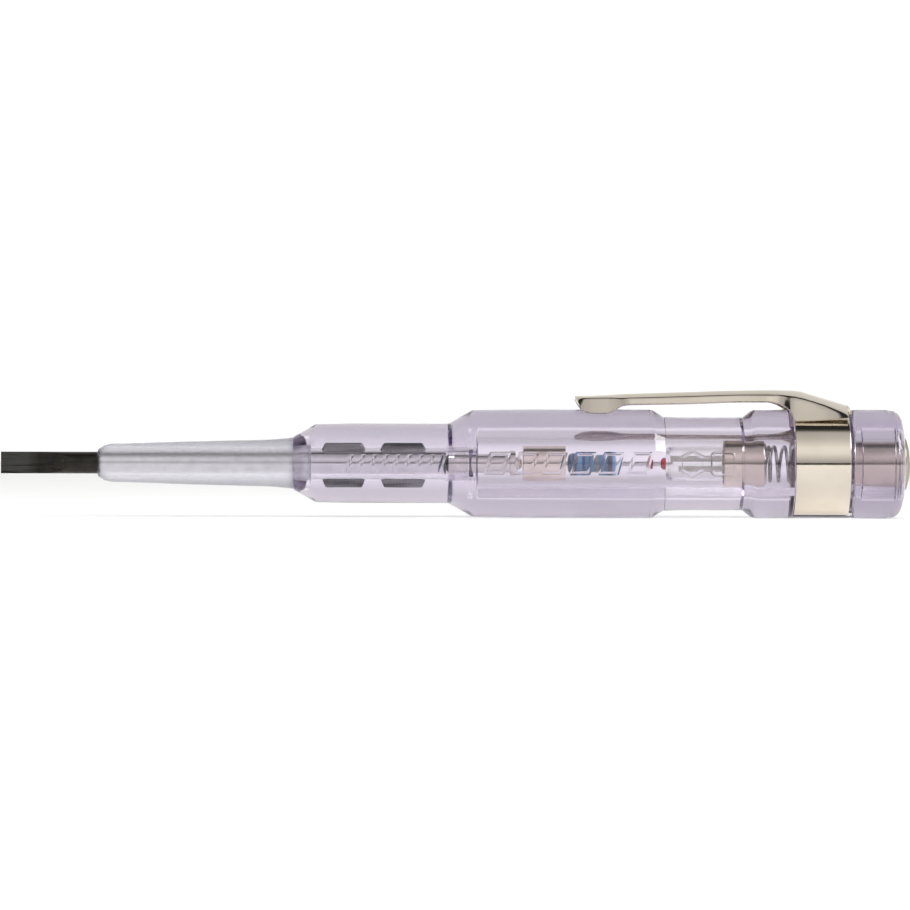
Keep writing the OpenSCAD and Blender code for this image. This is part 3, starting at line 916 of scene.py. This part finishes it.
arm_cy = table([(79.0, 0.75), (79.4, 1.4), (80.4, 2.2), (81.4, 2.5), (83.3, 2.5), (84.5, 2.3), (86.0, 1.92), (105.0, 1.92),
                (106.8, 2.3), (108.0, 3.0), (109.2, 3.7), (112.5, 4.2), (116.3, 4.75)])
arm_cz = table([(79.0, 9.24), (79.4, 9.1), (80.4, 9.05), (83.3, 9.08), (86.0, 9.0), (94, 9.18), (102.5, 9.42), (106.0, 9.4),
                (106.8, 9.45), (108.0, 9.4), (109.2, 9.15), (112.5, 8.25), (116.3, 6.72)])


def arm_mesh():
    xs = [79.0 + 0.1 * k for k in range(15)] + [80.4 + 0.2 * k for k in range(1, 33)] + \
         [87.5 + 1.0 * k for k in range(0, 18)] + [105.0 + 0.12 * k for k in range(1, 34)] + \
         [109.05, 109.2, 109.45, 109.8, 110.2, 110.6, 111.0, 111.5, 112, 113, 114, 115, 116, 116.26]
    xs = sorted(set(round(x, 3) for x in xs))
    n = 41
    verts, faces = [], []
    for x in xs:
        top, ye, ze, cy, cz = arm_top(x), arm_y(x), arm_z(x), arm_cy(x), arm_cz(x)
        h = top - cz
        p = (h * h + cy * cy) / (2 * h)
        a1 = 2 * atan2(h, cy)
        crown = [(p * sin(a1 * k / 6), top - p + p * cos(a1 * k / 6)) for k in range(7)]
        half = fillet([(y, z) for y, z in crown[:-1]] + [(crown[-1][0], crown[-1][1], 0.28), (ye, ze)], False, 6)
        # even spacing along the half section
        run = [0.0]
        for q in range(1, len(half)):
            run.append(run[-1] + sqrt((half[q][0] - half[q - 1][0]) ** 2 + (half[q][1] - half[q - 1][1]) ** 2))
        side = []
        for k in range(21):
            d = run[-1] * k / 20
            q = max(i for i in range(len(run)) if run[i] <= d + 1e-9)
            q = min(q, len(half) - 2)
            t = (d - run[q]) / max(1e-9, run[q + 1] - run[q])
            side.append((half[q][0] + (half[q + 1][0] - half[q][0]) * t, half[q][1] + (half[q + 1][1] - half[q][1]) * t))
        ring = side[::-1] + [(-y, z) for y, z in side[1:]]
        inner = []
        for j in range(n):
            u, v = ring[max(0, j - 1)], ring[min(n - 1, j + 1)]
            d = Vector((v[0] - u[0], v[1] - u[1])).normalized()
            inner.append((ring[j][0] - d.y * SHEET, ring[j][1] + d.x * SHEET))
        d = Vector((ring[0][0] - ring[1][0], ring[0][1] - ring[1][1])).normalized()
        # rounded edge: outer points, a soft nose, inner points back
        e0 = ((ring[-1][0] * 0.5 + inner[-1][0] * 0.5), (ring[-1][1] * 0.5 + inner[-1][1] * 0.5))
        e1 = ((ring[0][0] * 0.5 + inner[0][0] * 0.5), (ring[0][1] * 0.5 + inner[0][1] * 0.5))
        t0 = Vector((-d.x, d.y)) * 0.05
        t1 = Vector((d.x, d.y)) * 0.05
        loop = ring + [(e0[0] + t0.x, e0[1] + t0.y)] + inner[::-1] + [(e1[0] + t1.x, e1[1] + t1.y)]
        for y, z in loop:
            verts.append((x, y, z))
    m = 2 * n + 2
    for i in range(len(xs) - 1):
        for j in range(m):
            k = (j + 1) % m
            faces.append([i * m + j, i * m + k, (i + 1) * m + k, (i + 1) * m + j])

    def end(i, flip):
        b = i * m
        for j in range(n - 1):
            f = [b + j, b + j + 1, b + m - 2 - (j + 1), b + m - 2 - j]
            faces.append(f[::-1] if flip else f)
        f = [b + n - 1, b + n, b + n + 1]
        faces.append(f[::-1] if flip else f)
        f = [b + 0, b + m - 2, b + m - 1]
        faces.append(f[::-1] if flip else f)
    end(0, False)
    end(len(xs) - 1, True)
    ob = mesh_object("clip_arm_sheet", verts, faces)
    fix_normals(ob)
    sharp_edges(ob, 42)
    return ob


place(band_mesh(), M["clip"], "tester_body", "clip_band")
arm = place(arm_mesh(), M["clip"], "clip_lever", "clip_arm")
arm.data.materials.append(M["clip_inner"])
for poly in arm.data.polygons:
    mid = poly.center
    if poly.normal.z < -0.02 and abs(poly.normal.x) < 0.9:
        poly.material_index = 1
fold = fold_mesh()
fold.data.materials.append(M["clip"])
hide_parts("clip_band")
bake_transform(fold)

# ------------------------------------------------------ floor, light, world

me = bpy.data.meshes.new("floor")
me.from_pydata([(-4, -0.22, -0.00752), (4, -0.22, -0.00752), (4, 5, -0.00752), (-4, 5, -0.00752)], [], [(0, 1, 2, 3)])
floor_ob = bpy.data.objects.new("floor", me)
scene.collection.objects.link(floor_ob)
fm = Mat("pale_floor")
fm.link(fm.ramp(fm.noise(40, 3), [(0.3, (0.78, 0.78, 0.78)), (0.7, (0.80, 0.80, 0.80))]), fm.b.inputs["Base Color"])
fm.set(Roughness=0.85)
fm.b.inputs["Specular IOR Level"].default_value = 0.0
fm.b.inputs["Emission Color"].default_value = (1, 1, 1, 1)
fm.b.inputs["Emission Strength"].default_value = 0.08
floor_ob.data.materials.append(fm.m)

world = bpy.data.worlds.new("studio")
scene.world = world
world.use_nodes = True
nt = world.node_tree
nt.nodes.clear()
wo = nt.nodes.new("ShaderNodeOutputWorld")
bg = nt.nodes.new("ShaderNodeBackground")
tc = nt.nodes.new("ShaderNodeTexCoord")
sep = nt.nodes.new("ShaderNodeSeparateXYZ")
nt.links.new(tc.outputs["Generated"], sep.inputs[0])
neg = nt.nodes.new("ShaderNodeMath"); neg.operation = "MULTIPLY"; neg.inputs[1].default_value = -1.0
nt.links.new(sep.outputs[1], neg.inputs[0])
at = nt.nodes.new("ShaderNodeMath"); at.operation = "ARCTAN2"
nt.links.new(sep.outputs[2], at.inputs[0])
nt.links.new(neg.outputs[0], at.inputs[1])
mp = nt.nodes.new("ShaderNodeMapRange")
mp.inputs["From Min"].default_value = -pi
mp.inputs["From Max"].default_value = pi
nt.links.new(at.outputs[0], mp.inputs["Value"])
rp = nt.nodes.new("ShaderNodeValToRGB")
# brightness of the surroundings by angle above the camera's side, in degrees
LIGHT = [(-180, 1.25), (-168, 1.25), (-120, 0.75), (-95, 0.95), (-20, 0.95), (-12, 0.88), (-7, 0.66), (-4, 0.34),
         (-3.2, 0.03), (1.8, 0.03), (2.8, 0.46), (8, 0.62), (14, 0.80), (24, 1.05), (35, 1.07), (44, 0.88), (56, 0.66),
         (71, 0.54), (76, 0.12), (80, 0.03), (94, 0.03), (99, 0.52), (108, 0.72), (120, 0.80), (150, 0.84), (165, 1.15),
         (180, 1.25)]
el = rp.color_ramp.elements
while len(el) > 1:
    el.remove(el[-1])
for i, (deg, v) in enumerate(LIGHT):
    e = el[0] if i == 0 else el.new((deg + 180) / 360)
    e.position = (deg + 180) / 360
    e.color = (v, v * 0.995, v * 0.985, 1)
nt.links.new(mp.outputs[0], rp.inputs[0])
lp = nt.nodes.new("ShaderNodeLightPath")
mx = nt.nodes.new("ShaderNodeMix"); mx.data_type = "RGBA"
nt.links.new(lp.outputs["Is Camera Ray"], mx.inputs["Factor"])
ia = [i for i in mx.inputs if i.name == "A" and i.type == "RGBA"][0]
ib = [i for i in mx.inputs if i.name == "B" and i.type == "RGBA"][0]
nt.links.new(rp.outputs[0], ia)
ib.default_value = (1.06, 1.06, 1.06, 1)
nt.links.new([o for o in mx.outputs if o.type == "RGBA"][0], bg.inputs["Color"])
nt.links.new(bg.outputs[0], wo.inputs["Surface"])

key = bpy.data.objects.new("soft_key", bpy.data.lights.new("soft_key", "SUN"))
key.data.angle = radians(42)
key.data.energy = 2.6
key.location = (0.02, -0.60, 0.31)
key.rotation_euler = (Vector((0.06, 0, 0)) - Vector(key.location)).to_track_quat("-Z", "Y").to_euler()
key.visible_camera = False
key.visible_glossy = False
key.visible_transmission = False
scene.collection.objects.link(key)

side = bpy.data.objects.new("side_box", bpy.data.lights.new("side_box", "AREA"))
side.data.shape = "RECTANGLE"
side.data.size, side.data.size_y = 0.22, 0.30
side.data.energy = 2.2
side.data.use_shadow = False
side.location = (0.58, -0.12, 0.34)
side.rotation_euler = (Vector((0.09, 0, 0)) - Vector(side.location)).to_track_quat("-Z", "Y").to_euler()
side.visible_camera = False
scene.collection.objects.link(side)
